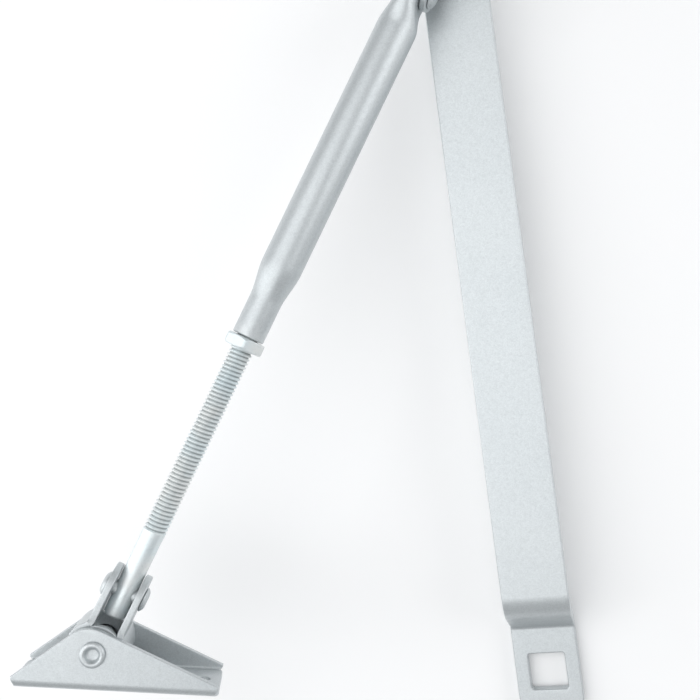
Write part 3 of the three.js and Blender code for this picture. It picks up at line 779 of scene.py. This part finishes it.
def threaded_rod():
    """A real helix: the grid's rows follow the thread, so its crests stay sharp all round."""
    sides, per_turn = 48, 10
    pitch = ROD["pitch"]
    depth = ROD["radius"] - ROD["root"]
    end = ROD["centres"] - ROD["plain"]
    start = end - ROD["thread"]
    run_in = ROD["run_in_turns"] * pitch
    run_out = ROD["run_out_turns"] * pitch
    rows = ceil((ROD["thread"] - 2 * pitch) / pitch) * per_turn
    first = start + run_in
    bm = bmesh.new()

    def fade(x):
        opening = smooth(x, first, first + pitch)
        closing = 1 - smooth(x, end - run_out, end - 0.1 * pitch)
        return min(opening, closing)

    def thread_vert(i, j):
        turn = 2 * pi * i / sides
        x = first + pitch * (i / sides + j / per_turn)
        body = ROD["radius"] + (ROD["shank"] - ROD["radius"]) * smooth(x, end - run_out, end)
        radius = body - depth * thread_depth((j % per_turn) / per_turn) * fade(x)
        return bm.verts.new((x, radius * cos(turn), radius * sin(turn)))

    def ring(x, radius):
        angles = [2 * pi * i / sides for i in range(sides)]
        return [bm.verts.new((x, radius * cos(a), radius * sin(a))) for a in angles]

    grid = [[thread_vert(i, j) for j in range(rows + 1)] for i in range(sides)]
    grid[0] += [thread_vert(0, rows + j) for j in range(1, per_turn + 1)]
    for i in range(sides):
        ahead, shift = (grid[i + 1], 0) if i + 1 < sides else (grid[0], per_turn)
        for j in range(rows):
            bm.faces.new((grid[i][j], ahead[j + shift], ahead[j + shift + 1], grid[i][j + 1]))

    def bridge(rings, rim):
        for low, high in zip(rings, rings[1:]):
            for i in range(sides):
                bm.faces.new((low[i], low[(i + 1) % sides], high[(i + 1) % sides], high[i]))
        last = rings[-1]
        for i in range(sides - 1):
            bm.faces.new((last[i], last[i + 1], rim[i + 1], rim[i]))
        return last

    front = bridge([ring(start, ROD["radius"] - ROD["chamfer"]), ring(start + 0.2, ROD["radius"] - 0.3)],
                   [column[0] for column in grid])
    bm.faces.new((front[-1], front[0], *grid[0][:per_turn + 1], grid[-1][0]))
    far = ROD["centres"] + ROD["past"]
    shank, round_off = ROD["shank"], ROD["end_round"]
    curve = [(far - round_off * (1 - sin(a)), shank - round_off * (1 - cos(a)))
             for a in (pi / 2 * (1 - i / 6) for i in range(7))]
    back_rings = [ring(x, radius) for x, radius in [*curve, (end + 0.9 * pitch + 0.6, shank)]]
    back = bridge(back_rings, [column[rows] for column in grid])
    bm.faces.new((grid[-1][rows], *reversed(grid[0][rows:rows + per_turn + 1]), back[0], back[-1]))
    for cap in (back_rings[0], [vert for vert in bm.verts if abs(vert.co.x - start) < FINE]):
        bm.faces.new(cap)
    bmesh.ops.recalc_face_normals(bm, faces=bm.faces)
    bm = combined("rod", bm, [cross_bore(ROD["centres"])], "DIFFERENCE")
    return piece("rod_with_thread", bm, AT_ROD, "rod", "threaded_rod", ZINC, sharp=50)


# ---- Shoe -------------------------------------------------------------------------------------
HEEL = -SHOE["pivot_from_heel"]
TOE = SHOE["length"] - SHOE["pivot_from_heel"]
BASE = -SHOE["pivot_height"]


def shoe_wall_top():
    """The top of a wall from toe to heel: low at both ends, rounded over the pivot."""
    centre = Vector((SHOE["apex_offset"], SHOE["apex_height"] - SHOE["pivot_height"] - SHOE["apex_radius"]))
    shoulder = BASE + SHOE["end_height"]

    def tangent(x, side):
        corner = Vector((x, shoulder)) - centre
        return atan2(corner.y, corner.x) + side * acos(SHOE["apex_radius"] / corner.length)

    start = tangent(TOE, 1)
    end = tangent(HEEL, -1)
    end += 2 * pi if end < start else 0
    return [(TOE, shoulder), *arc(centre, SHOE["apex_radius"], start, end, 28), (HEEL, shoulder)]


def shoe_bracket():
    half, bend, sheet = SHOE["width"] / 2, SHOE["bend"], SHOE["sheet"]
    flat, mid = half - bend, bend - sheet / 2
    fold = mid * pi / 2

    def across(y):
        """Distance over the blank, from its middle, of a height on a wall's mid-plane."""
        above = y - (BASE + bend)
        return flat + fold + above if above > 0 else flat + mid * acos(-above / bend)

    top = shoe_wall_top()
    wall = soften([(TOE, flat), *[(x, across(y)) for x, y in top], (HEEL, flat)], SHOE["corner"], steps=5)
    trimmed = flat + 0.4 * fold
    relief = [(flat - 2 + (fold + 3) * i / 14) for i in range(14)]
    notch = [(SHOE["relief"] * exp(-((s - trimmed) / SHOE["relief_reach"]) ** 2), s) for s in relief]
    heel = [(HEEL + depth, s) for depth, s in reversed(notch)]
    toe = [(TOE - depth, s) for depth, s in notch]
    wall = [point for point in wall if point[1] > relief[-1] + 0.1]
    half_outline = toe + wall + heel
    outline = [(x, -s) for x, s in reversed(half_outline)] + half_outline
    pivot = flat + fold + SHOE["pivot_height"] - bend
    holes = [circle((0, side * pivot), SHOE_RIVET["shank"] + PLAY, 40) for side in (-1, 1)]
    screws = (HEEL + SHOE["screw_inset"], TOE - SHOE["screw_inset"])
    holes += [circle((x, 0), SHOE["screw"], 40) for x in screws]
    steps = 10
    bends = [side * (flat + fold * i / steps) for side in (-1, 1) for i in range(steps + 1)]

    def bent(x, s, w):
        side = 1 if s > 0 else -1
        over = abs(s) - flat
        if over <= 0:
            return (x, BASE + sheet / 2 + w, s)
        if over < fold:
            turn = over / mid
            radius = mid - w
            return (x, BASE + bend - radius * cos(turn), side * (flat + radius * sin(turn)))
        return (x, BASE + bend + over - fold, side * (half - sheet / 2 - w))

    bm = sheet_mesh([outline, *holes], sheet, EDGE, bends=bends, at=bent)
    return piece("shoe_channel", bm, AT_SHOE, "shoe", "shoe_bracket", PAINT)


def shoe_sleeve():
    half = SHOE["width"] / 2 - SHOE["sheet"] - GAP
    bm = ring_mesh(SHOE_RIVET["shank"] + PLAY, SHOE_BUSH, -half, half)
    return piece("shoe_sleeve", bm, AT_SHOE, "shoe", "shoe_bush", STEEL)


def shoe_rivet():
    r = SHOE_RIVET
    seat = SHOE["width"] / 2 + GAP
    top = seat + r["height"]
    floor = top - r["depth"]
    profile = [
        (0, -top), (r["back"], -top), (r["head"], -seat), (r["shank"], -seat), (r["shank"], seat),
        (r["head"], seat), (r["head"], (seat + top) / 2), (r["roll"], top), (r["dimple"], top),
        (r["floor"], floor), (0, floor),
    ]
    bm = turned_mesh(soften(profile, 0.5))
    return piece("shoe_rivet", bm, AT_SHOE, "shoe", "shoe_pivot_rivet", PAINT, sharp=60)


# ---- Stage, light and camera --------------------------------------------------------------------
CAMERA_LENS = 46.62
CAMERA_SENSOR = 36
CAMERA_NEAR = 0.01
CAMERA_AT = (0.024298, 0.112290, 0.333149)
CAMERA_TURNS = (("Z", -7.394), ("X", -0.067), ("Y", 14.011))
FLOOR_SIZE = 6
FLOOR_DROP = 0.0004  # below the object, so that their faces don't share a plane
WORLD_STRENGTH = 0.44
LIGHTS = (  # name, place from the object's middle, diameter, watts
    ("overhead", (-0.25, 0.05, 0.9), 1.4, 6.6),
    ("left", (-1.0, 0.1, 0.40), 0.9, 4.0),
    ("right", (1.0, 0.1, 0.40), 0.9, 3.4),
)


def stage():
    low, high = cad_box
    ground = low[2] - FLOOR_DROP
    centre = ((low[0] + high[0]) / 2, (low[1] + high[1]) / 2)
    bpy.ops.mesh.primitive_plane_add(size=FLOOR_SIZE, location=(*centre, ground))
    floor = bpy.context.object
    floor.name = "studio_floor"
    look = Look("studio_floor", metallic=0.0, roughness=0.9)
    look.shader.inputs["Specular IOR Level"].default_value = 0.1
    look.colour(look.mixed(look.noise(9, detail=3), (0.93, 0.932, 0.935), (0.95, 0.95, 0.952)))
    floor.data.materials.append(look.material)


def soft_light(name, place_at, aim, size, power):
    data = bpy.data.lights.new(name, "AREA")
    data.shape = "DISK"
    data.size = size
    data.energy = power
    lamp = bpy.data.objects.new(name, data)
    lamp.location = place_at
    lamp.rotation_euler = (Vector(aim) - Vector(place_at)).to_track_quat("-Z", "Y").to_euler()
    bpy.context.scene.collection.objects.link(lamp)


def studio():
    stage()
    low, high = (Vector(corner) for corner in cad_box)
    middle = (low + high) / 2
    for name, offset, size, power in LIGHTS:
        soft_light(name, middle + Vector(offset), middle, size, power)
    world = bpy.data.worlds.new("studio")
    world.use_nodes = True
    background = world.node_tree.nodes["Background"]
    background.inputs["Color"].default_value = (0.96, 0.98, 1, 1)
    background.inputs["Strength"].default_value = WORLD_STRENGTH
    bpy.context.scene.world = world
    bpy.context.scene.view_settings.view_transform = "Standard"


def camera():
    """Nearly overhead, turned and leaning a little."""
    data = bpy.data.cameras.new("camera")
    data.sensor_width = CAMERA_SENSOR
    data.lens = CAMERA_LENS
    data.clip_start = CAMERA_NEAR
    eye = bpy.data.objects.new("camera", data)
    turn = Matrix.Identity(4)
    for axis, degrees in CAMERA_TURNS:
        turn = turn @ Matrix.Rotation(radians(degrees), 4, axis)
    eye.matrix_world = Matrix.Translation(CAMERA_AT) @ turn
    bpy.context.scene.collection.objects.link(eye)
    bpy.context.scene.camera = eye


camera()
studio()
main_arm()
elbow_rivet()
elbow_rings()
link("elbow_fork", ELBOW_LINK, ELBOW_BUSH + PLAY, AT_ELBOW_LINK, "elbow_link", "elbow_link")
cross_rivet("elbow_fork_rivet", AT_ELBOW_RIVET, "elbow_link", "elbow_cross_rivet")
forearm_tube()
jam_nut()
threaded_rod()
link("shoe_fork", SHOE_LINK, SHOE_BUSH + PLAY, AT_SHOE_LINK, "shoe_link", "shoe_link")
cross_rivet("shoe_fork_rivet", AT_ROD_RIVET, "shoe_link", "rod_cross_rivet")
shoe_bracket()
shoe_sleeve()
shoe_rivet()
